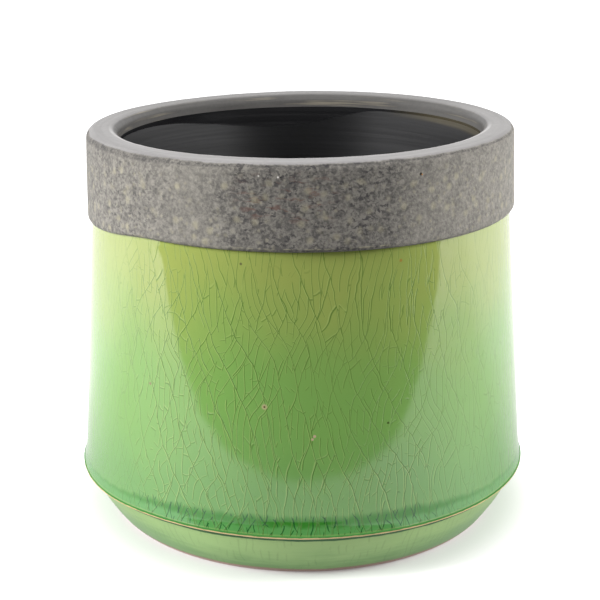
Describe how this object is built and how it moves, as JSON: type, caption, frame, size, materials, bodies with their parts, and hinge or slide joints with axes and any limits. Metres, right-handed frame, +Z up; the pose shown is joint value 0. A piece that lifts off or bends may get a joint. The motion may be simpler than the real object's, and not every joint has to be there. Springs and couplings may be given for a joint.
{
  "type": "cachepot",
  "caption": "Round ceramic cachepot with a raised grey stone-effect collar, a green crackle-glazed wall that flares to a bare edge, a tapered glazed foot and a dark glazed inside.",
  "frame": {"origin": "centre of the foot ring, on the surface the pot stands on", "axes": "+Z up the axis the pot is turned about, -Y towards the viewer of the picture, +X to the viewer's right"},
  "size_m": [0.15, 0.15, 0.1285],
  "materials": {
    "clay": "matte",
    "collar": "matte",
    "wall": "gloss",
    "foot": "satin",
    "liner": "gloss"
  },
  "bodies": {
    "root": {"clay_body": "clay", "collar_coat": "collar", "wall_glaze": "wall", "foot_glaze": "foot", "liner_glaze": "liner"}
  },
  "joints": []
}
